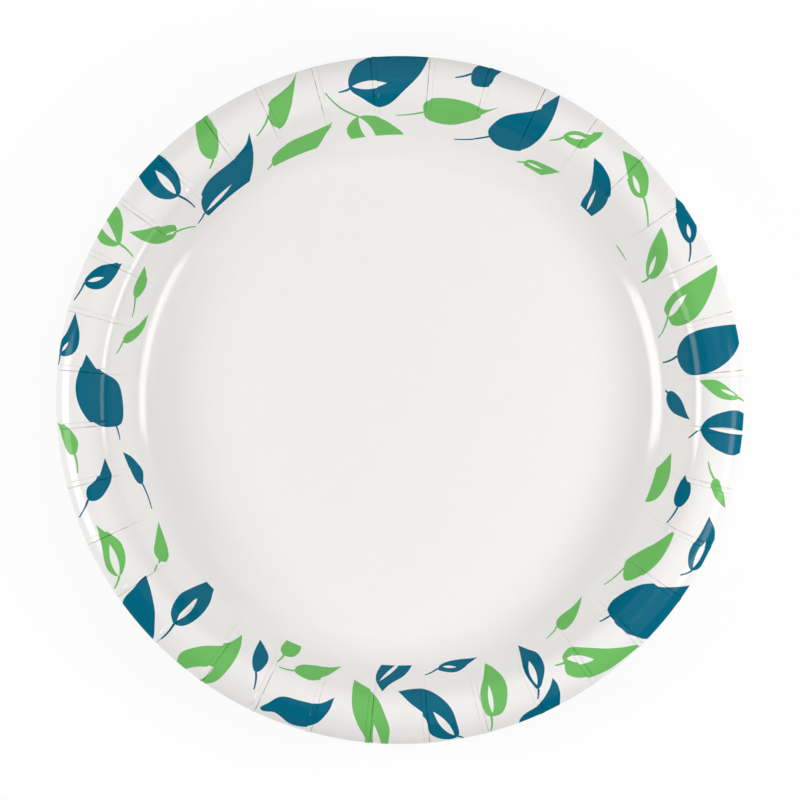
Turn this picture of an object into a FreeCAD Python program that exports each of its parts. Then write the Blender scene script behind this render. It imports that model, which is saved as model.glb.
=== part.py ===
import FreeCAD, Part
import math
import os
from collections import namedtuple

# A stack of round paper plates, nested one inside the next. Each is pressed from one disc of coated
# board. The disc has board to spare round the wall and rim, and a ring of pressed folds takes it up.
# Between two folds the board is bent one way only, so the wall and rim are a ring of gores, mitred at
# the folds. Across a gore the printed face climbs gently to the crest of a fold, where the board lies
# double, and drops to the next gore within the fold's width. The folds die out down the wall.
# Lengths are in millimetres and angles in degrees. The origin is the middle of the lowest plate's
# underside, +Z is up, and +Y is the top of the print on every plate.

# One plate
plate_diameter = 256.0       # across the gores at the turned-down edge
board_thickness = 0.5
bend_radius = 24.5           # underside of the bend from the floor into the wall
wall_angle = 48.0            # slope of the wall, from level
wall_length = 11.2           # straight part of the wall, along its slope
arch_radius = 12.7           # underside of the arched rim
edge_angle = 47.5            # slope of the turned-down edge, from level
flats_in_bend = 3            # a curve of the section is drawn with this many flats
flats_in_arch = 5

# The pressed folds
fold_count = 36
first_fold_angle = 84.5      # from +X towards +Y
fold_width = 1.6             # at the plate's edge
fold_rise = 0.35             # height of a fold's crest above the next gore, at the plate's edge

# The stack
plate_count = 6
nesting_clearance = 0.3      # square to the steepest board, between one plate and the next

# Worked out from the sizes above
plate_radius = plate_diameter / 2
gore_angle = 360 / fold_count
fold_angle = math.degrees(fold_width / plate_radius)
steepest = math.radians(max(wall_angle, edge_angle))
stack_pitch = (board_thickness + nesting_clearance) / math.cos(steepest) + fold_rise

# A line round the plate where its section changes slope: the radius and height of the underside in
# the middle of a gore, the slope there, and whether the folds reach that far in
Ring = namedtuple("Ring", "radius height slope folded")


def sine(angle):
    return math.sin(math.radians(angle))


def cosine(angle):
    return math.cos(math.radians(angle))


def arc_run(radius, slope_from, slope_to):
    """Level distance along an arc between two slopes. A negative radius turns the arc downwards."""
    return radius * (sine(slope_to) - sine(slope_from))


def arc_rise(radius, slope_from, slope_to):
    return radius * (cosine(slope_from) - cosine(slope_to))


floor_radius = (
    plate_radius
    - board_thickness * sine(edge_angle)
    - arc_run(bend_radius, 0, wall_angle)
    - wall_length * cosine(wall_angle)
    - arc_run(-arch_radius, wall_angle, -edge_angle)
)


def arc_rings(start, radius, slope_to, flats, folded):
    """The rings of one curve of the section, after the ring that it starts from."""
    rings = []
    for flat in range(1, flats + 1):
        slope = start.slope + (slope_to - start.slope) * flat / flats
        run = arc_run(radius, start.slope, slope)
        rise = arc_rise(radius, start.slope, slope)
        rings.append(Ring(start.radius + run, start.height + rise, slope, folded))
    return rings


def section_rings():
    """Every ring of a plate, from the edge of its floor out to its cut edge."""
    rings = [Ring(floor_radius, 0.0, 0.0, False)]
    rings += arc_rings(rings[-1], bend_radius, wall_angle, flats_in_bend, False)
    wall_foot = rings[-1]
    run = wall_length * cosine(wall_angle)
    rise = wall_length * sine(wall_angle)
    rings.append(Ring(wall_foot.radius + run, wall_foot.height + rise, wall_angle, True))
    rings += arc_rings(rings[-1], -arch_radius, -edge_angle, flats_in_arch, True)
    return rings


def on_gore(radius, height, angle):
    """A point of the gore whose middle lies along +X. The gore is straight across."""
    return FreeCAD.Vector(radius, radius * math.tan(math.radians(angle)), height)


def under(ring, side):
    """The underside's corner of a ring, at the gore's left (-1) or right (1) as seen from the axis."""
    return on_gore(ring.radius, ring.height, side * gore_angle / 2)


def over(ring, side):
    """The printed face's corner of a ring. Side 1 is the crest of the fold, where there is one."""
    radius = ring.radius - board_thickness * sine(ring.slope)
    height = ring.height + board_thickness * cosine(ring.slope)
    if not ring.folded:
        return on_gore(radius, height, side * gore_angle / 2)
    if side > 0:
        height += fold_rise * radius / plate_radius
    return on_gore(radius, height, side * (gore_angle - fold_angle) / 2)


def turned(point, angle):
    return FreeCAD.Rotation(FreeCAD.Vector(0, 0, 1), angle).multVec(point)


def next_foot(ring):
    """Where the fold comes down, on the next gore."""
    return turned(over(ring, -1), gore_angle)


def flat(*corners):
    return Part.Face(Part.makePolygon(corners + corners[:1]))


def band(inner, outer):
    """The faces between two rings of one gore and of the fold at its crest side."""
    faces = [flat(under(inner, -1), under(inner, 1), under(outer, 1), under(outer, -1))]
    if outer.folded == inner.folded:
        faces.append(flat(over(inner, -1), over(inner, 1), over(outer, 1), over(outer, -1)))
    else:
        faces.append(flat(over(inner, -1), over(inner, 1), over(outer, 1)))
        faces.append(flat(over(inner, -1), over(outer, 1), over(outer, -1)))
    if inner.folded:
        faces.append(flat(over(inner, 1), next_foot(inner), next_foot(outer), over(outer, 1)))
    elif outer.folded:
        faces.append(flat(over(inner, 1), next_foot(outer), over(outer, 1)))
    return faces


def cut_edge(ring):
    """The faces of the cut board along one gore and its fold."""
    return [
        flat(under(ring, -1), under(ring, 1), over(ring, -1)),
        flat(over(ring, -1), under(ring, 1), over(ring, 1)),
        flat(over(ring, 1), under(ring, 1), next_foot(ring)),
    ]


def plate():
    rings = section_rings()
    gore = cut_edge(rings[-1])
    for inner, outer in zip(rings, rings[1:]):
        gore += band(inner, outer)
    middles = [first_fold_angle + gore_angle * (number + 0.5) for number in range(fold_count)]
    faces = [
        flat(*[turned(under(rings[0], 1), angle) for angle in middles]),
        flat(*[turned(over(rings[0], 1), angle) for angle in middles]),
    ]
    for angle in middles:
        for face in gore:
            faces.append(face.rotated(FreeCAD.Vector(0, 0, 0), FreeCAD.Vector(0, 0, 1), angle))
    return Part.makeSolid(Part.makeShell(faces))


def main():
    os.makedirs("parts", exist_ok=True)
    one_plate = plate()
    for level in range(plate_count):
        lifted = one_plate.translated(FreeCAD.Vector(0, 0, level * stack_pitch))
        lifted.exportStep(f"parts/plate_{level + 1}.step")


main()
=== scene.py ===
import bpy
import math
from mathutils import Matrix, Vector
from mathutils.geometry import delaunay_2d_cdt


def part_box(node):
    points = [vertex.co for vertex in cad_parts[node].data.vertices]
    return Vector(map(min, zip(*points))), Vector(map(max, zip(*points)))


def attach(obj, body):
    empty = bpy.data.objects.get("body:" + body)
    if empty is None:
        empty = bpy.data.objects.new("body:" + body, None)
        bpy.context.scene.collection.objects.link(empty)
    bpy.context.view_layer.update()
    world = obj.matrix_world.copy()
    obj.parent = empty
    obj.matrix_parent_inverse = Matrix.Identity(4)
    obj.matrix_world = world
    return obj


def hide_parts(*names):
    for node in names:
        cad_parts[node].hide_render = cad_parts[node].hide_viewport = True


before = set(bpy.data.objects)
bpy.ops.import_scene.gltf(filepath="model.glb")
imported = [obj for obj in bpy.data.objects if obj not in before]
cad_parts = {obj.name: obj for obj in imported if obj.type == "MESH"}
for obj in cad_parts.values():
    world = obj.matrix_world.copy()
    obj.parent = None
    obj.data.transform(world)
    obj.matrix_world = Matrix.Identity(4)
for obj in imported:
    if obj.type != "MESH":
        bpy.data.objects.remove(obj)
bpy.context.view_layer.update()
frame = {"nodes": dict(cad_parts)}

mm = 0.001

# Sizes are in millimetres and angles in degrees, unless a note says otherwise.
# A clock angle runs clockwise from the top of the print.


# an output of a node, which can stand in a sum
class Wire:
    def __init__(self, nodes, socket):
        self.nodes = nodes
        self.socket = socket

    def also(self, output):
        # another output of the same node
        return Wire(self.nodes, self.socket.node.outputs[output])

    def math(self, operation, *others):
        values = dict(enumerate((self,) + others))
        return self.nodes.put("ShaderNodeMath", {"operation": operation}, values)

    def __add__(self, other):
        return self.math("ADD", other)

    def __radd__(self, other):
        return self.math("ADD", other)

    def __sub__(self, other):
        return self.math("SUBTRACT", other)

    def __rsub__(self, other):
        return (self * -1) + other

    def __mul__(self, other):
        return self.math("MULTIPLY", other)

    def __rmul__(self, other):
        return self.math("MULTIPLY", other)

    def __truediv__(self, other):
        return self.math("DIVIDE", other)

    def __rtruediv__(self, other):
        return self.math("POWER", -1) * other

    def between(self, low, high):
        return self.math("MAXIMUM", low).math("MINIMUM", high)


# one way to put any node into a tree
class Nodes:
    def __init__(self, tree):
        self.tree = tree

    def put(self, kind, settings=None, values=None, output=0):
        node = self.tree.nodes.new(kind)
        for name, value in (settings or {}).items():
            if name != "stops":
                setattr(node, name, value)
                continue
            for stop, (position, colour) in zip(node.color_ramp.elements, value):
                stop.position = position
                stop.color = (*colour, 1)
        for name, value in (values or {}).items():
            wires = value if isinstance(value, list) else [value]
            if isinstance(wires[0], Wire):
                for wire in wires:
                    self.tree.links.new(wire.socket, node.inputs[name])
            else:
                node.inputs[name].default_value = value
        return Wire(self, node.outputs[output]) if node.outputs else node


def emptied(owner):
    # a material's or a world's own tree, with nothing in it
    owner.use_nodes = True
    owner.node_tree.nodes.clear()
    return Nodes(owner.node_tree)


def rgb(red, green, blue):
    # a colour as a screen shows it, from 0 to 255, to the linear values that a shader takes
    return tuple((c / 255 / 12.92) if c < 10.3 else ((c / 255 + 0.055) / 1.055) ** 2.4
                 for c in (red, green, blue))


coating = {
    "roughness": 0.42,
    "coat": 0.95,
    "coatOnInk": 0.38,
    "coatRoughness": 0.14,
    "coatIndex": 1.42,
    "mottle": 0.02,
    "mottleSize": 7.0,
    "peelHeight": 0.002,      # the fine dimples of the coating
    "peelScale": 1100.0,      # about this many of them to a metre
    "peelStrength": 0.6,
    "paintedCreaseShade": 0.5,       # painted shade: the coating's colour is this much darker in a fold's crease
    "paper": rgb(239, 237, 235),
    "teal": rgb(0, 102, 128),
    "green": rgb(112, 189, 99),
}


def coatedFinish(name, colour, coat):
    material = bpy.data.materials.new(name)
    nodes = emptied(material)
    place = nodes.put("ShaderNodeTexCoord", output="Object")
    cloud = nodes.put("ShaderNodeTexNoise", values={
        "Vector": place, "Scale": 1 / (coating["mottleSize"] * mm), "Detail": 3.0})
    # painted shade along the folds: this attribute darkens the colour in each crease and on its
    # step
    crease = nodes.put("ShaderNodeAttribute", {"attribute_name": "crease"}, output="Fac")
    # random mottle of the coating, times the painted shade of the folds
    mottleAndPaintedShade = ((cloud - 0.5) * coating["mottle"] + 1) * (1 - crease * coating["paintedCreaseShade"])
    tint = nodes.put("ShaderNodeVectorMath", {"operation": "SCALE"}, {0: colour, "Scale": mottleAndPaintedShade})
    peel = nodes.put("ShaderNodeTexNoise", values={
        "Vector": place, "Scale": coating["peelScale"], "Detail": 1.0})
    bump = nodes.put("ShaderNodeBump", values={
        "Height": peel, "Distance": coating["peelHeight"] * mm,
        "Strength": coating["peelStrength"]})
    shader = nodes.put("ShaderNodeBsdfPrincipled", values={
        "Base Color": tint, "Roughness": coating["roughness"], "Specular IOR Level": 0.0,
        "Normal": bump, "Coat Weight": coat, "Coat Roughness": coating["coatRoughness"],
        "Coat IOR": coating["coatIndex"]})
    nodes.put("ShaderNodeOutputMaterial", values={"Surface": shader})
    return material


board = {
    "colour": rgb(233, 229, 222),
    "colourFrom": 0.6,        # share of the fibre pattern
    "fibre": rgb(221, 215, 205),
    "fibreUpTo": 0.35,
    "fibreSize": 0.9,
    "fibreHeight": 0.01,
    "fibreStrength": 0.5,
    "roughness": 0.85,
}


def boardFinish():
    material = bpy.data.materials.new("uncoated board")
    nodes = emptied(material)
    place = nodes.put("ShaderNodeTexCoord", output="Object")
    fibre = nodes.put("ShaderNodeTexNoise", values={
        "Vector": place, "Scale": 1 / (board["fibreSize"] * mm), "Detail": 4.0,
        "Distortion": 0.8})
    stops = [(board["fibreUpTo"], board["fibre"]), (board["colourFrom"], board["colour"])]
    tint = nodes.put("ShaderNodeValToRGB", {"stops": stops}, {"Fac": fibre})
    bump = nodes.put("ShaderNodeBump", values={
        "Height": fibre, "Distance": board["fibreHeight"] * mm,
        "Strength": board["fibreStrength"]})
    shader = nodes.put("ShaderNodeBsdfPrincipled", values={
        "Base Color": tint, "Roughness": board["roughness"], "Normal": bump})
    nodes.put("ShaderNodeOutputMaterial", values={"Surface": shader})
    return material


finishes = [
    coatedFinish("coated paper", coating["paper"], coating["coat"]),
    coatedFinish("teal ink", coating["teal"], coating["coatOnInk"]),
    coatedFinish("green ink", coating["green"], coating["coatOnInk"]),
    boardFinish(),
]
paper, teal, green, bare = range(len(finishes))
print("finishes made")


# the plate's section, as its printed face runs
plate = {
    "bendRadius": 24.0,       # from the floor into the wall
    "wallAngle": 48.0,
    "wallLength": 11.2,
    "archRadius": 13.2,       # of the arched rim
    "edgeAngle": 47.5,        # how far the edge is turned down
    "board": 0.5,
    "foldCount": 36,
    "firstFold": 5.5,         # clock angle
    "foldHalf": 0.358,        # half a fold's width, as an angle
    "foldFoot": 0.18,         # width of the step at each side of a fold, as an angle
    "foldRise": 0.15,
    "foldReach": (99.0, 120.0),   # along the face, where the folds start and where they are full
    "creaseDepth": 0.44,      # the step at the left of a fold starts as a crease
    "paintedStepShade": 0.5,         # how much painted shade the step at its right gets, as a share of the crease's
    "faintest": 0.6,          # share of the depth that the faintest fold has
    "foldSeed": 4,
    "puckerSize": 3.2,        # a crease comes and goes over this length
    "puckerFrom": 0.36,       # the noise at which a crease would have no depth
    "puckerGain": 5.0,        # how fast its depth grows from there
    "puckerLeast": 0.45,      # share of the depth that is always left
    "sharpAngle": 20,         # an edge that turns further than this stays sharp
    "trimRadius": 98.9,       # the print stops at this circle
    "weld": 0.0005,           # points closer than this become one
}

goreAngle = 360 / plate["foldCount"]
corners = [v.co for v in frame["nodes"]["plate_1"].data.vertices]    # further out than its gores
plateRadius = max(c.xy.length for c in corners) * math.cos(math.radians(goreAngle / 2)) / mm
wall = math.radians(plate["wallAngle"])
edge = math.radians(plate["edgeAngle"])
wallTop = plateRadius - plate["archRadius"] * (math.sin(wall) + math.sin(edge))
wallFoot = wallTop - plate["wallLength"] * math.cos(wall)
floorRadius = wallFoot - plate["bendRadius"] * math.sin(wall)

# distances along the face
bendEnd = floorRadius + plate["bendRadius"] * wall
wallEnd = bendEnd + plate["wallLength"]
faceEnd = wallEnd + plate["archRadius"] * (wall + edge)


def alongFace(radius):
    # how far along the printed face a point lies that is at this radius, seen from above
    if radius <= floorRadius:
        return radius
    if radius <= wallFoot:
        bend = math.asin((radius - floorRadius) / plate["bendRadius"])
        return floorRadius + plate["bendRadius"] * bend
    if radius <= wallTop:
        return bendEnd + (radius - wallFoot) / math.cos(wall)
    if radius <= plateRadius:
        slope = math.asin(math.sin(wall) - (radius - wallTop) / plate["archRadius"])
        return wallEnd + plate["archRadius"] * (wall - slope)
    return faceEnd + (radius - plateRadius) / math.cos(edge)


def radiusAt(along):
    # the radius, seen from above, of a point this far along the printed face
    bend = min(max(along - floorRadius, 0) / plate["bendRadius"], wall)
    flat = min(max(along - bendEnd, 0), plate["wallLength"])
    arch = min(max(along - wallEnd, 0) / plate["archRadius"], wall + edge)
    return (min(along, floorRadius) + plate["bendRadius"] * math.sin(bend)
            + flat * math.cos(wall) + plate["archRadius"] * (math.sin(wall) - math.sin(wall - arch))
            + max(along - faceEnd, 0) * math.cos(edge))


def polar(angle, radius):
    return Vector((math.sin(angle), math.cos(angle))) * radius


# The print is a scatter of leaves on the flat sheet, before it is pressed. A leaf's points are a
# clock angle and a radius in the layout's units, as they lie on the finished plate. Each leaf is
# its ink, its stalk, one side up to the tip, the tip, the other side up to the tip, the end of its
# stem, and the slit along its middle: both ends and half its width.
layoutRadius = 344            # the plate's radius in the layout's units

leaves = [
    (teal, (350.8, 315), [(351.1, 328), (353, 340), (357, 348)], (365.3, 352),
     [(352.6, 305), (356.2, 293.4), (361, 310.5), (363.9, 330)],
     (348.7, 313.5), ((351.3, 316.8), (357.6, 317), 4.2)),
    (green, (351.7, 286.5), [(349.3, 279.5), (348.9, 271), (351, 258)], (357, 243),
     [(355.5, 284.5), (358.6, 275), (361, 262)],
     (346.3, 315.6), ((351.7, 285.8), (355.2, 250), 5.2)),
    (green, (4.7, 289), [(4.9, 299), (8, 304.9), (13.2, 305.1), (16.1, 302.2)], (18.7, 308.6),
     [(5.6, 282.5), (10, 279.7), (14, 287.2), (16.5, 299)], (-0.8, 285), None),
    (teal, (12.4, 334), [(12.9, 342), (15, 349)], (18.5, 352),
     [(12.8, 324.5), (14, 322.6), (15.9, 327.5), (16.5, 338)], (9.7, 327), None),
    (teal, (18.7, 278.5), [(18.2, 286.5), (20.2, 302), (25.8, 323)], (27.7, 344.5),
     [(21.6, 272.6), (25.9, 278.3), (28.2, 297), (28.5, 320)], (11.7, 266.8), None),
    (green, (27.6, 269), [(28.6, 274), (31.5, 276.6)], (35.1, 278.8),
     [(28.8, 262), (31, 262.5), (33.6, 272)], (25.5, 265), ((28.2, 269.8), (31.7, 271.6), 1.5)),
    (green, (31.9, 309), [(32.1, 316), (33.6, 322.3), (35.3, 324.8), (36.3, 332)], (37.2, 336),
     [(34.3, 307.6), (36.3, 312.2), (36.7, 319), (37.3, 329)],
     (29.9, 299.5), ((32.5, 313), (35.5, 320.8), 2)),
    (teal, (44.8, 257), [(42.6, 268), (41.9, 284), (40.6, 296)], (38.7, 310.3),
     [(46.3, 268), (46.2, 287), (44.2, 302), (41.2, 309)], None, ((44.5, 267), (43, 287), 1.6)),
    (green, (50.3, 316.5), [(49, 311), (47.3, 312.3), (44.3, 323.5)], (41.7, 334),
     [(49.9, 323.5), (47.5, 335.5), (45, 338.9), (43, 336.3)],
     (55, 302.5), ((49.2, 316), (46, 323.5), 2.4)),
    (teal, (61.6, 329.5), [(60.3, 326.4), (58, 328), (55.6, 334.5)], (53.6, 342),
     [(61.3, 336), (59.9, 343), (57.5, 348)], (64.4, 320), ((60.8, 331.8), (58.5, 337), 2.2)),
    (green, (63.9, 277), [(62, 278.8), (59.8, 287), (57.7, 301)], (56.5, 313.2),
     [(64.3, 287), (62.4, 301), (59.4, 310)], (64, 269), ((63.4, 278.6), (60.6, 293.8), 2.3)),
    (green, (72.8, 280.5), [(71, 279.6), (68.9, 291), (67.7, 316)], (66.8, 346),
     [(74.6, 282.7), (75.1, 293), (74.2, 309), (70.5, 331)],
     (76.5, 266), ((72.8, 281.3), (69.7, 305.5), 3.6)),
    (green, (54, 264.6), [(57, 267)], (60, 264.6), [(57, 262)], None, None),
    (teal, (81, 280.8), [(78.2, 287.5), (76.9, 303), (76.9, 325)], (77.5, 352),
     [(84.2, 285.5), (85.2, 298), (84.3, 320), (81.5, 340.5)], (81.9, 265), None),
    (green, (89.6, 337.8), [(88.2, 330.5), (86.5, 318), (86.2, 307)], (86.3, 299.5),
     [(90, 328), (89.3, 316)], (90.3, 344), ((89.2, 334.8), (88.1, 320.6), 1.7)),
    (teal, (88.4, 268.3), [(88.2, 273.5), (90, 281.5), (92.8, 287.3)], (93.9, 290.8),
     [(90.5, 267.3), (92.5, 273), (93.5, 283)], (87.3, 264), None),
    (teal, (95.8, 301.6), [(93.6, 307.5), (92.1, 324), (91.9, 340)], (95.5, 375),
     [(97.2, 306.5), (99, 321.5), (99.3, 340)], (97.5, 291), ((95.2, 309.6), (95.6, 352), 2.6)),
    (green, (104.1, 323.5), [(104.2, 329), (106, 336.5)], (108.4, 342.8),
     [(105.7, 322.2), (107, 328.5), (108, 337)], (101.3, 314), None),
    (teal, (120.3, 338), [(119.8, 332), (117.3, 326), (114, 328.6)], (110.6, 330.2),
     [(119, 344), (116, 348), (112.8, 341.5)], (122, 330), ((119.8, 337.4), (114.8, 336.6), 3.3)),
    (teal, (111.1, 297.5), [(110.4, 292.3), (108.8, 290.5), (106.8, 291.4)], (104.7, 294.6),
     [(110.3, 302), (108.3, 304.8), (106.2, 302.3)], (114.7, 293.5), None),
    (green, (110.5, 255), [(106, 258), (104.5, 267)], (101, 276.8),
     [(112.6, 262), (111.4, 274), (108.6, 279.2), (105.5, 280.3)], None, None),
    (green, (126.9, 280), [(125.2, 277.8), (122.5, 283), (118.8, 294)], (115.7, 304.3),
     [(128.7, 288.5), (126.3, 297.5), (122.5, 304.6), (118.8, 305.8)], (132.2, 275.5), None),
    (teal, (135.8, 301), [(135.1, 294.2), (132.8, 292.4), (127.3, 304), (124.9, 327)], (121, 354),
     [(136.1, 312), (135.4, 330), (133.2, 346)], (138, 298), None),
    (green, (148, 309.5), [(147.6, 303), (145.8, 299.8), (143.4, 308), (140, 324)], (135.6, 343.8),
     [(148.6, 321), (146.5, 332.5), (142.8, 340.3), (139.5, 342)],
     (149.7, 307), ((147.2, 307.4), (143.2, 323.8), 4.6)),
    (green, (145.3, 276), [(144.5, 270.8), (142.5, 269.3), (140, 269.6)], (137.1, 268),
     [(144.5, 282.4), (142, 281.4), (139.3, 275)], (148.4, 280), None),
    (teal, (159.5, 353), [(154, 352), (151.6, 337), (151, 325)], (151.2, 316.8),
     [(159.3, 340.5), (155.4, 334), (152.7, 325)], None, None),
    (teal, (154.4, 320), [(152.8, 313), (151.5, 302), (151.5, 288), (152.9, 280)], (154.3, 272.5),
     [(155, 313), (155.4, 300), (154.9, 286)], (155.3, 329), ((154.3, 316), (153.7, 291), 3.2)),
    (green, (163.9, 329),
     [(161.8, 328.3), (160, 314), (159.5, 299), (160.8, 283.5)], (162.1, 276.8),
     [(164.8, 323.5), (164.8, 306), (163.4, 291)],
     (164.7, 343.5), ((163.5, 326), (162.7, 298.5), 2.4)),
    (teal, (172, 271.5), [(170.5, 267), (167.5, 266.3), (165.3, 267.8)], (163.3, 269),
     [(171.2, 274.8), (168.2, 277.9), (165.5, 273)],
     (174.8, 276.5), ((170.9, 270.3), (168.1, 273.4), 1.8)),
    (teal, (170.2, 341), [(170, 328), (170.6, 312), (172.6, 298), (175.2, 290.2), (177.7, 289.3)],
     (180.4, 291.4), [(172.4, 342.2), (174.8, 335), (175.4, 320), (178.2, 302.5)],
     (169.3, 344), ((170.8, 339.4), (173.9, 313.2), 3.7)),
    (teal, (178, 250), [(177.2, 262), (178.9, 275), (182, 284.5)], (183.5, 292),
     [(183.2, 262), (184.7, 272), (184.9, 281.5)], None, ((179.8, 262), (184.2, 282), 2)),
    (green, (183.5, 354), [(181.8, 333), (182.8, 314), (185, 295.5)], (189.3, 283.3),
     [(186.5, 334.5), (188.7, 313), (189.3, 296)], None, ((183.2, 358), (184.6, 325), 3.9)),
    (teal, (204.3, 339), [(203.5, 330), (201.8, 319), (198, 316.3), (195, 314)], (192.4, 304.6),
     [(201.8, 336.5), (198.3, 342), (195, 336), (193, 320)], None, None),
    (green, (201.3, 290.5), [(200.7, 283.5), (198, 279.2), (195, 277)], (192.3, 273),
     [(200, 293.3), (197.3, 293.7), (195, 286)], (204.4, 293), None),
    (green, (204.5, 280.5), [(202.6, 278.5), (201.7, 270), (202.5, 258)], (203.5, 248),
     [(205.6, 276.5), (205.4, 268), (204.6, 258)], (205.2, 289.5), None),
    (teal, (207.9, 307.5), [(206.9, 298), (207.1, 288.5), (208.7, 281.8)], (210.3, 277.6),
     [(209.2, 302.5), (210, 293)], (206.8, 324), None),
    (green, (217.7, 356), [(213.7, 340), (212.5, 318), (212.7, 296)], (213.9, 283),
     [(220.9, 338), (219.3, 318.5), (215.4, 298)], None, ((214.9, 325.2), (219.3, 362), 9.5)),
    (teal, (225.3, 317.5), [(223.6, 311), (222.8, 295), (223.1, 279), (224.5, 266)], (225.7, 252),
     [(227.2, 312), (228.5, 295), (227.9, 280), (226.8, 266)],
     (225, 338), ((225.3, 313.4), (225.6, 284), 3.7)),
    (teal, (230, 357), [(226, 347), (228.3, 328), (231.8, 315.3)], (235.4, 308.2),
     [(233.9, 343), (234.8, 325), (235.3, 315)], None, None),
    (green, (237.9, 331), [(238.7, 336), (240.4, 337.8), (244.5, 331)], (247.6, 328.3),
     [(238.3, 325), (240.2, 316), (243, 313.3), (245.6, 320)],
     (236.5, 342.5), ((237.9, 331.6), (243.6, 323.8), 4)),
    (green, (236.3, 289.2), [(235.3, 284.5), (237, 276.8), (239.8, 273.2)], (243.3, 270.8),
     [(238.2, 289.2), (240.3, 281.8)], (235.2, 299.4), None),
    (teal, (252.3, 327), [(251.7, 318), (253, 306), (255.3, 298)], (258.9, 300.6),
     [(254.2, 325), (255.3, 314.5), (256.8, 306.5)], (249.9, 341.5), None),
    (teal, (252, 271.3), [(252.6, 275.5), (255, 278.4)], (259.4, 282.2),
     [(253, 268.8), (254.8, 267.4), (257.8, 273.8)], (246.3, 271.5), None),
    (green, (260.5, 329.5), [(260.8, 335), (262.8, 338.8)], (266.3, 343),
     [(261.3, 326), (262.8, 324.6), (265, 331.5)], (257.2, 330.5), None),
    (teal, (264.7, 285), [(265.3, 303), (268.3, 319), (272.8, 324.4)], (278.3, 316.8),
     [(265.6, 279), (269.5, 277.4), (273.6, 283), (275.6, 300)], (261.9, 283), None),
    (teal, (277.7, 343), [(277.6, 334), (279, 326.8), (281.7, 327)], (285.1, 336),
     [(279.8, 344), (281.5, 340)], (275.9, 343.5), ((278.2, 341.5), (279.9, 336.4), 1.6)),
    (green, (282, 283.3), [(281.8, 278.5), (283.5, 270.5), (285.8, 266.5)], (288.8, 266.4),
     [(283.6, 282.2), (285.3, 275)], (279.3, 287.5), None),
    (green, (291.1, 284), [(292.2, 288), (294.3, 289)], (297.7, 288.5),
     [(292, 280.3), (294.2, 278.8), (296.3, 283.2)], (287.2, 280.6), None),
    (teal, (290.4, 336.5), [(289.8, 328), (290.7, 317), (293.3, 310.5)], (296.2, 309.6),
     [(292, 335.3), (294.2, 327.5), (295.5, 317)], (287, 341), ((290.8, 333.8), (292.5, 320), 2.1)),
    (green, (299.1, 320.6), [(298, 327), (297.9, 340)], (302, 374),
     [(301, 323.6), (303, 330.5), (304.3, 343)], (298.2, 302.5), ((299.1, 324), (302.4, 362), 4.3)),
    (green, (307, 280), [(305.5, 279), (303, 287), (301.8, 302)], (301.8, 318.5),
     [(307.8, 285.5), (305.9, 295), (303.7, 307)],
     (310.3, 268.5), ((307, 281), (305.1, 286.8), 1.4)),
    (teal, (312.7, 301), [(310.6, 308), (309.7, 322), (310.5, 343)], (313, 380),
     [(314.3, 306), (315.6, 320), (315.6, 342)],
     (313.2, 281.5), ((312.6, 304.1), (313.2, 335.5), 4)),
    (green, (322.2, 304.5), [(321.2, 316), (322.2, 331), (323.4, 343)], (325, 357),
     [(323.9, 308.3), (325.5, 321.5), (325.9, 337)], (320.5, 299.5), None),
    (teal, (313.8, 271),
     [(315.2, 282), (318.5, 290.7), (325, 292.3), (328.6, 297.5)], (330.6, 306.8),
     [(314.5, 264), (319.5, 257), (325.5, 266), (328.8, 283)],
     (311.2, 268.7), ((314.3, 271), (322, 273.8), 2.7)),
    (green, (335.2, 313), [(336.3, 325), (338.8, 329.5), (341, 335)], (342.5, 343.3),
     [(335.2, 302), (336.4, 296.7), (339, 308), (340.9, 325)], (331.5, 300), None),
    (green, (331.6, 269), [(332.7, 275.5), (336.6, 280.7), (342, 282.3)], (346.4, 286),
     [(332.6, 262), (337.5, 258), (342, 266.5), (344.8, 278)], (330, 266.3), None),
]

leafShape = {
    "sideSteps": 7,           # between two points of a side
    "stemSteps": 10,
    "stemHalf": 0.45,         # half the stem's width at the leaf
    "stemEnd": 0.26,          # and at its end
    "stemBow": 0.05,          # sideways, as a share of the stem's length
    "slitSteps": 14,
    "slitFullness": 0.9,      # 1 is a plain sine, and less is fuller towards the stalk
    "least": 0.01,            # a smaller area than this is left out
}

seam = plate["firstFold"] + plate["foldHalf"]    # the print breaks where a fold steps down


def onSheet(clock, radius):
    # the flat sheet's point that ends up here: the folds swallow a strip beside each gore
    gore = math.floor((clock - seam) / goreAngle)
    middle = seam + goreAngle * (gore + 0.5)
    radius *= plateRadius / layoutRadius
    along = alongFace(radius)
    return polar(math.radians(middle + (clock - middle) * radius / along), along)


def smoothLine(points, steps):
    # a curve through the points, each span turned towards the points beside it
    line = []
    ends = [points[0] * 2 - points[1]] + points + [points[-1] * 2 - points[-2]]
    for before, here, there, after in zip(ends, ends[1:], ends[2:], ends[3:]):
        span = (there - here).length
        leave = (there - before).normalized() * span
        arrive = (after - here).normalized() * span
        for step in range(steps):
            t = step / steps
            line.append(here * (2 * t ** 3 - 3 * t ** 2 + 1) + leave * (t ** 3 - 2 * t ** 2 + t)
                        + there * (3 * t ** 2 - 2 * t ** 3) + arrive * (t ** 3 - t ** 2))
    return line + [points[-1]]


def leafOutline(stalk, oneSide, tip, otherSide):
    around = [tip] + oneSide[::-1] + [stalk] + otherSide + [tip]
    return smoothLine(around, leafShape["sideSteps"])[:-1]


def slitOutline(start, end, half):
    axis = end - start
    across = Vector((-axis.y, axis.x)).normalized() * half * plateRadius / layoutRadius
    fullness = leafShape["slitFullness"]
    shares = [i / leafShape["slitSteps"] for i in range(leafShape["slitSteps"] + 1)]
    swell = [math.sin(math.pi * t ** fullness) ** fullness for t in shares]
    return ([start + axis * t + across * s for t, s in zip(shares, swell)]
            + [start + axis * t - across * s for t, s in zip(shares[-2:0:-1], swell[-2:0:-1])])


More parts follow.
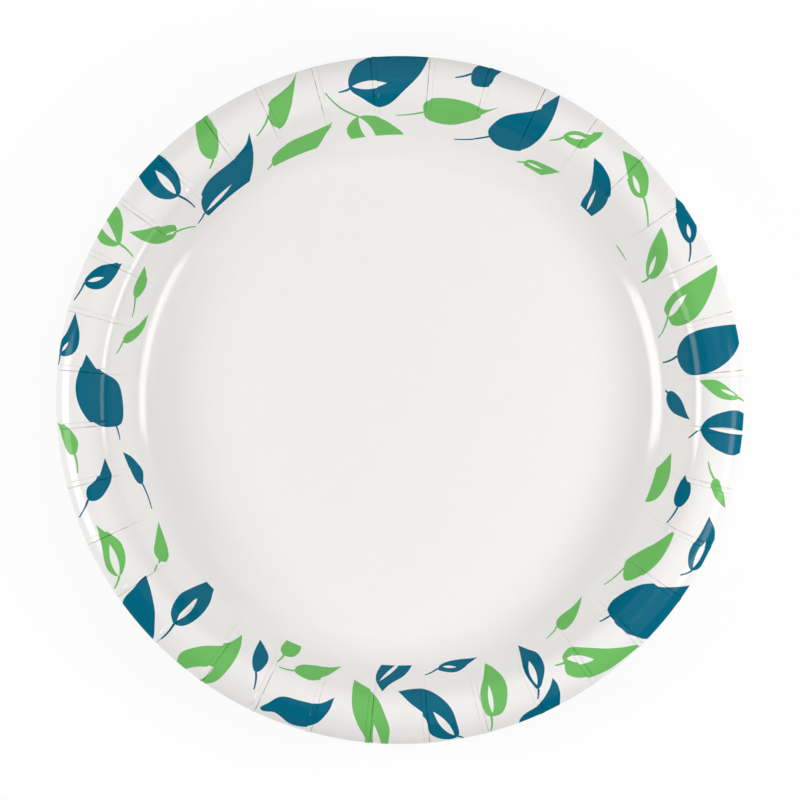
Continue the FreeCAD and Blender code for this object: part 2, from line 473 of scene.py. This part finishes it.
def stemOutline(stalk, end):
    axis = end - stalk
    across = Vector((-axis.y, axis.x)).normalized()
    shares = [i / leafShape["stemSteps"] for i in range(leafShape["stemSteps"] + 1)]
    bow = leafShape["stemBow"] * axis.length
    middle = [stalk + axis * t + across * bow * 4 * t * (1 - t) for t in shares]
    halves = [leafShape["stemHalf"] * (1 - t) + leafShape["stemEnd"] * t for t in shares]
    return ([m + across * h for m, h in zip(middle, halves)]
            + [m - across * h for m, h in zip(middle[::-1], halves[::-1])])


fields = []                                      # (ink, outline on the flat sheet)
for ink, stalk, oneSide, tip, otherSide, stem, slit in leaves:
    stalk = onSheet(*stalk)
    fields.append((ink, leafOutline(stalk, [onSheet(*point) for point in oneSide], onSheet(*tip),
                                    [onSheet(*point) for point in otherSide])))
    if stem:
        fields.append((ink, stemOutline(stalk, onSheet(*stem))))
    if slit:
        fields.append((paper, slitOutline(onSheet(*slit[0]), onSheet(*slit[1]), slit[2])))


def clipped(outline, normal):
    # the part of an outline on one side of a line through the middle
    kept = []
    for here, after in zip(outline, outline[1:] + outline[:1]):
        a, b = here.dot(normal), after.dot(normal)
        if a >= 0:
            kept.append(here)
        if a * b < 0:
            kept.append(here.lerp(after, a / (a - b)))
    return kept


def pressedInto(gore, outline):
    # what a gore shows of an outline, with the angles that the pressed gore gives it
    middle = math.radians(seam + goreAngle * (gore + 0.5))
    half = math.radians(goreAngle / 2)
    turned = []
    for point in outline:
        along = point.length
        angle = math.atan2(point.x, point.y) - middle
        angle = (angle + math.pi) % (2 * math.pi) - math.pi
        turned.append(polar(middle + angle * along / radiusAt(along), along))
    for side in (-1, 1):
        border = middle + side * half
        turned = clipped(turned, Vector((math.cos(border), -math.sin(border))) * -side)
        if len(turned) < 3:
            return None
    area = sum(a.cross(b) for a, b in zip(turned, turned[1:] + turned[:1])) / 2
    if abs(area) < leafShape["least"]:
        return None
    return turned if area > 0 else turned[::-1]


# the flat sheet as a mesh, with the print's outlines and the folds as edges
sheet = {
    "floorRings": ((25, 24), (45, 36), (62, 72), (74, 108)),   # radius and number of points
    "bendSteps": 12,
    "wallSteps": 5,
    "archSteps": 20,
    "goreColumns": 9,
    "clearOfTrim": 0.4,       # a ring closer than this to the print's border is left out
    "margin": 0.01,
    "weld": 0.002,
    "edgeChord": 1.5,         # the longest chord of the edge, in even steps round it
}


def ringClocks():
    # clock angles of the columns round a ring: close together at the folds, even across the gores
    half, foot = plate["foldHalf"], plate["foldHalf"] + plate["foldFoot"]
    bottom = (half + foot) / 2
    clear = goreAngle - 2 * foot
    clocks = []
    for fold in range(plate["foldCount"]):
        middle = plate["firstFold"] + fold * goreAngle
        clocks += [middle - bottom, middle - half, middle, middle + half, middle + bottom]
        clocks += [middle + foot + clear * i / sheet["goreColumns"]
                   for i in range(sheet["goreColumns"] + 1)]
    return clocks


def ringDistances():
    steps = []
    for start, end, count in ((floorRadius, bendEnd, sheet["bendSteps"]),
                              (bendEnd, wallEnd, sheet["wallSteps"]),
                              (wallEnd, faceEnd, sheet["archSteps"])):
        steps += [start + (end - start) * i / count for i in range(count)]
    trim = alongFace(plate["trimRadius"])
    return sorted([d for d in steps + [faceEnd] if abs(d - trim) > sheet["clearOfTrim"]] + [trim])


def addPrint(points):
    # adds the outlines, gore by gore, and gives the points and the ink of each
    loops, inks = [], []
    for ink, outline in fields:
        turns = [math.degrees(math.atan2(p.x, p.y)) for p in outline]
        gores = {math.floor((turn - seam + shift) / goreAngle) % plate["foldCount"]
                 for turn in turns for shift in (-goreAngle, 0, goreAngle)}
        for gore in sorted(gores):
            loop = pressedInto(gore, outline)
            if loop:
                loops.append(list(range(len(points), len(points) + len(loop))))
                points.extend(loop)
                inks.append(ink)
    return loops, inks


def flatSheet():
    points = [Vector((0, 0))]
    for radius, count in sheet["floorRings"]:
        points += [polar(2 * math.pi * i / count, radius) for i in range(count)]
    first = len(points)
    clocks = [math.radians(clock) for clock in ringClocks()]
    distances = ringDistances()
    lines = []
    for distance in distances:
        start = len(points)
        points += [polar(clock, distance) for clock in clocks]
        lines += [(start + i, start + (i + 1) % len(clocks)) for i in range(len(clocks))]
    perFold = len(clocks) // plate["foldCount"]
    stepColumns = (0, 1, 3, 4, 5, perFold - 1)    # along the sides and bottoms of a fold's steps
    for column in range(len(clocks)):
        if column % perFold in stepColumns:
            lines += [(first + row * len(clocks) + column, first + (row + 1) * len(clocks) + column)
                      for row in range(len(distances) - 1)]
    loops, inks = addPrint(points)
    points, _, faces, _, _, origins = delaunay_2d_cdt(points, lines, loops, 0, sheet["weld"])
    limit = distances[-1] + sheet["margin"]
    chord = limit * math.cos(math.pi / len(clocks) * sheet["edgeChord"])
    trim = alongFace(plate["trimRadius"]) - sheet["margin"]
    kept, faceInks = [], []
    for face, origin in zip(faces, origins):
        middle = sum((points[i] for i in face), Vector((0, 0))) / len(face)
        if middle.length > chord and max(points[i].length for i in face) > limit:
            continue              # where a leaf runs off the sheet
        covers = {inks[i] for i in origin}
        printed = covers and paper not in covers and middle.length > trim
        kept.append(face)
        faceInks.append(max(covers) if printed else paper)
    mesh = bpy.data.meshes.new("printed sheet")
    mesh.from_pydata([(p.x * mm, p.y * mm, 0) for p in points], [], kept)
    mesh.materials.append(finishes[paper])
    attribute = mesh.attributes.new("finish", "INT", "FACE")
    attribute.data.foreach_set("value", faceInks)
    return mesh


# pressing: a node tree turns the sheet into a plate, and these are its inputs in metres and radians
pressSizes = {
    "Floor Radius": floorRadius * mm,
    "Bend Radius": plate["bendRadius"] * mm,
    "Wall Angle": wall,
    "Wall Length": plate["wallLength"] * mm,
    "Arch Radius": plate["archRadius"] * mm,
    "Edge Angle": edge,
    "Board": plate["board"] * mm,
    "Fold Count": plate["foldCount"],
    "First Fold": math.radians(plate["firstFold"]),
    "Fold Half": math.radians(plate["foldHalf"]),
    "Fold Foot": math.radians(plate["foldFoot"]),
    "Fold Rise": plate["foldRise"] * mm,
    "Crease Depth": plate["creaseDepth"] * mm,
    "Faintest Fold": plate["faintest"],
    "Pucker Size": plate["puckerSize"] * mm,
    "Fold Start": plate["foldReach"][0] * mm,
    "Fold Full": plate["foldReach"][1] * mm,
}


def sectionAt(given, along):
    # the slope of the pressed face, and how far out and up it lies, at a distance along it
    wallAngle = given["Wall Angle"]
    bendEnds = given["Floor Radius"] + given["Bend Radius"] * wallAngle
    bend = ((along - given["Floor Radius"]) / given["Bend Radius"]).between(0, wallAngle)
    straight = (along - bendEnds).between(0, given["Wall Length"])
    arch = ((along - bendEnds - given["Wall Length"]) / given["Arch Radius"]).between(
        0, wallAngle + given["Edge Angle"])
    lean = wallAngle - arch
    wallSine, wallCosine = wallAngle.math("SINE"), wallAngle.math("COSINE")
    out = (along.math("MINIMUM", given["Floor Radius"]) + given["Bend Radius"] * bend.math("SINE")
           + straight * wallCosine + given["Arch Radius"] * (wallSine - lean.math("SINE")))
    up = (given["Board"] + given["Bend Radius"] * (1 - bend.math("COSINE")) + straight * wallSine
          + given["Arch Radius"] * (lean.math("COSINE") - wallCosine))
    return bend - arch, out, up


def foldsAt(nodes, given, place, bearing, along):
    # how far a point stands above the face, in the raised strip of a fold or in the crease at its
    # left, and how much painted shade darkens the coating there, in the crease and on the step at
    # its right
    gores = (bearing - given["First Fold"]) * given["Fold Count"] / (2 * math.pi)
    offset = (gores - gores.math("ROUND")) / given["Fold Count"] * (2 * math.pi)
    inside = given["Fold Half"] + given["Fold Foot"] - offset.math("ABSOLUTE")
    strip = (inside / given["Fold Foot"]).between(0, 1)
    halfFoot = given["Fold Foot"] * 0.5
    toCrease = offset + given["Fold Half"] + halfFoot
    toStep = offset - given["Fold Half"] - halfFoot
    crease, step = [(1 - away.math("ABSOLUTE") / halfFoot).between(0, 1)
                    for away in (toCrease, toStep)]
    reach = given["Fold Full"] - given["Fold Start"]
    fade = ((along - given["Fold Start"]) / reach).between(0, 1)
    # no two folds are pressed alike
    fold = gores.math("ROUND").math("FLOORED_MODULO", given["Fold Count"])
    ownDepth = nodes.put("FunctionNodeRandomValue", {"data_type": "FLOAT"}, {
        2: given["Faintest Fold"], 3: 1.0, "ID": fold, "Seed": plate["foldSeed"]}, output=1)
    cloud = nodes.put("ShaderNodeTexNoise", values={
        "Vector": place, "Scale": 1 / given["Pucker Size"], "Detail": 1.0})
    pucker = ((cloud - plate["puckerFrom"]) * plate["puckerGain"]).between(plate["puckerLeast"], 1)
    pressure = fade * fade * ownDepth * pucker
    lift = strip * given["Fold Rise"] * fade - crease * given["Crease Depth"] * pressure
    # the second value is painted shade for the coating's colour
    return lift, (crease + step * plate["paintedStepShade"]) * pressure


def pressTree():
    tree = bpy.data.node_groups.new("pressed plate", "GeometryNodeTree")
    face = tree.interface
    face.new_socket(name="Sheet", in_out="INPUT", socket_type="NodeSocketGeometry")
    face.new_socket(name="Plate", in_out="OUTPUT", socket_type="NodeSocketGeometry")
    for name in pressSizes:
        face.new_socket(name=name, in_out="INPUT", socket_type="NodeSocketFloat")
    nodes = Nodes(tree)
    flat = nodes.put("NodeGroupInput", output="Sheet")
    given = {name: flat.also(name) for name in pressSizes}

    place = nodes.put("GeometryNodeInputPosition")
    x = nodes.put("ShaderNodeSeparateXYZ", values={"Vector": place}, output="X")
    y = x.also("Y")
    along = (x * x + y * y).math("SQRT")
    safe = along.math("MAXIMUM", 1e-6)     # the middle point has no direction
    slope, out, up = sectionAt(given, along)
    lift, paintedFoldShade = foldsAt(nodes, given, place, x.math("ARCTAN2", y), along)

    def stored(geometry, domain, kind, name, value, selection=True):
        return nodes.put("GeometryNodeStoreNamedAttribute", {"data_type": kind, "domain": domain}, {
            "Geometry": geometry, "Selection": selection, "Name": name, "Value": value})

    def pressed(geometry, height):
        radius = out - slope.math("SINE") * height
        onPlate = nodes.put("ShaderNodeCombineXYZ", values={
            "X": x / safe * radius, "Y": y / safe * radius,
            "Z": up + slope.math("COSINE") * height})
        return nodes.put("GeometryNodeSetPosition", values={
            "Geometry": geometry, "Position": onPlate})

    # the folds' painted shade goes onto the points for the coatings' colour; the cut edge grows
    # from the sheet's border, down to the underside
    marked = stored(flat, "POINT", "FLOAT", "crease", paintedFoldShade)
    border = nodes.put("FunctionNodeCompare", {"data_type": "INT", "operation": "EQUAL"}, {
        2: nodes.put("GeometryNodeInputMeshEdgeNeighbors"), 3: 1})
    edged = nodes.put("GeometryNodeExtrudeMesh", {"mode": "EDGES"}, {
        "Mesh": marked, "Selection": border, "Offset Scale": 0.0}, output="Mesh")
    below = given["Board"] * -1
    height = nodes.put("GeometryNodeSwitch", {"input_type": "FLOAT"}, {
        "Switch": edged.also("Top"), "False": lift, "True": below})
    upper = stored(pressed(edged, height), "FACE", "INT", "finish", bare, edged.also("Side"))
    under = nodes.put("GeometryNodeFlipFaces", values={"Mesh": pressed(marked, below)})
    under = stored(under, "FACE", "INT", "finish", bare)
    joined = nodes.put("GeometryNodeJoinGeometry", values={0: [under, upper]})
    whole = nodes.put("GeometryNodeMergeByDistance", values={
        "Geometry": joined, "Distance": plate["weld"] * mm})

    soft = nodes.put("FunctionNodeCompare", {"operation": "LESS_THAN"}, {
        0: nodes.put("GeometryNodeInputMeshEdgeAngle"), 1: math.radians(plate["sharpAngle"])})
    for domain, smooth in (("EDGE", soft), ("FACE", True)):
        whole = nodes.put("GeometryNodeSetShadeSmooth", {"domain": domain}, {
            "Geometry": whole, "Shade Smooth": smooth})
    whole = nodes.put("GeometryNodeRealizeInstances", values={"Geometry": whole})
    finish = nodes.put("GeometryNodeInputNamedAttribute", {"data_type": "INT"}, {"Name": "finish"})
    for number, material in enumerate(finishes):
        chosen = nodes.put("FunctionNodeCompare", {"data_type": "INT", "operation": "EQUAL"}, {
            2: finish, 3: number})
        whole = nodes.put("GeometryNodeSetMaterial", values={
            "Geometry": whole, "Selection": chosen, "Material": material})
    nodes.put("NodeGroupOutput", values={"Plate": whole})
    return tree


def pressedPlate():
    blank = bpy.data.objects.new("printed sheet", flatSheet())
    bpy.context.scene.collection.objects.link(blank)
    press = blank.modifiers.new("press", "NODES")
    press.node_group = pressTree()
    for item in press.node_group.interface.items_tree:
        if item.in_out == "INPUT" and item.name in pressSizes:
            press[item.identifier] = float(pressSizes[item.name])
    graph = bpy.context.evaluated_depsgraph_get()
    mesh = bpy.data.meshes.new_from_object(blank.evaluated_get(graph))
    bpy.data.objects.remove(blank)
    return mesh


plateMesh = pressedPlate()
print("one plate pressed:", len(plateMesh.polygons), "faces")

for node in sorted(frame["nodes"]):
    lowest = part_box(node)[0].z
    mesh = plateMesh.copy()
    for vertex in mesh.vertices:
        vertex.co.z += lowest
    piece = bpy.data.objects.new("pressed_" + node, mesh)
    bpy.context.scene.collection.objects.link(piece)
    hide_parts(node)
    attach(piece, "root")
print("plates stacked:", len(frame["nodes"]))


# floor, light and camera, in metres
studio = {
    "floorSize": 40.0,
    "floorHeight": -0.00005,  # just clear of the lowest plate, so that the two don't flicker
    "floorGlow": 0.88,        # share of the floor's white that doesn't depend on the lamps
    "white": rgb(252, 252, 252),
    "fill": 0.08,
    "lens": 600.0,            # millimetres
    "rimHeight": 0.016,       # of the plate's outline above its printed floor
    "plateShare": 688 / 800,  # of the picture's width that the plate takes
}

# clock angle, angle above the floor, distance, width, height, and power in watts
lamps = {
    "left strip": (262, 30, 1.0, 0.56, 0.36, 5.6),
    "right strip": (103, 30, 0.7, 0.46, 0.18, 2.0),
    "right softbox": (90, 34, 1.0, 0.9, 0.7, 1.1),
    "back softbox": (0, 55, 1.0, 0.9, 0.8, 2.1),
    "low back softbox": (5, 20, 1.0, 1.2, 0.5, 1.6),
    "low front softbox": (195, 25, 1.0, 1.1, 0.5, 0.4),
    "lower right softbox": (125, 55, 0.9, 0.8, 0.8, 1.8),
    "overhead softbox": (0, 89, 1.2, 0.8, 0.8, 1.2),
}


def whiteFloor():
    far, low = studio["floorSize"] / 2, studio["floorHeight"]
    mesh = bpy.data.meshes.new("floor")
    mesh.from_pydata([(-far, -far, low), (far, -far, low), (far, far, low), (-far, far, low)],
                     [], [(0, 1, 2, 3)])
    floor = bpy.data.objects.new("floor", mesh)
    bpy.context.scene.collection.objects.link(floor)
    material = bpy.data.materials.new("white floor")
    nodes = emptied(material)
    ray = nodes.put("ShaderNodeLightPath", output="Is Camera Ray")
    seen = (ray + ray.also("Is Glossy Ray") + ray.also("Is Transmission Ray")).between(0, 1)
    matt = nodes.put("ShaderNodeBsdfDiffuse", values={"Color": (*studio["white"], 1)})
    glow = nodes.put("ShaderNodeEmission", values={"Color": (1, 1, 1, 1), "Strength": 1.0})
    mixed = nodes.put("ShaderNodeMixShader", values={
        "Fac": seen * studio["floorGlow"], 1: matt, 2: glow})
    nodes.put("ShaderNodeOutputMaterial", values={"Surface": mixed})
    mesh.materials.append(material)


def areaLight(name, clock, elevation, distance, width, height, power):
    light = bpy.data.lights.new(name, "AREA")
    light.shape = "RECTANGLE"
    light.size = width
    light.size_y = height
    light.energy = power
    lamp = bpy.data.objects.new(name, light)
    bearing, rise = math.radians(clock), math.radians(elevation)
    lamp.location = Vector((math.sin(bearing) * math.cos(rise),
                            math.cos(bearing) * math.cos(rise), math.sin(rise))) * distance
    lamp.rotation_euler = (-lamp.location).to_track_quat("-Z", "Y").to_euler()
    bpy.context.scene.collection.objects.link(lamp)


def studioLight():
    for name, setting in lamps.items():
        areaLight(name, *setting)
    world = bpy.data.worlds.new("studio")
    bpy.context.scene.world = world
    nodes = emptied(world)
    sky = nodes.put("ShaderNodeBackground", values={
        "Color": (1, 1, 1, 1), "Strength": studio["fill"]})
    nodes.put("ShaderNodeOutputWorld", values={"Surface": sky})


def photoCamera():
    data = bpy.data.cameras.new("camera")
    data.lens = studio["lens"]
    camera = bpy.data.objects.new("camera", data)
    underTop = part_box(max(frame["nodes"]))[0].z      # where the top plate's underside lies
    rim = underTop + plate["board"] * mm + studio["rimHeight"]
    span = 2 * plateRadius * mm / studio["plateShare"]
    camera.location = (0, 0, rim + span * data.lens / data.sensor_width)
    bpy.context.scene.collection.objects.link(camera)
    bpy.context.scene.camera = camera


whiteFloor()
studioLight()
photoCamera()
bpy.context.scene.view_settings.view_transform = "Standard"
print("stage set")
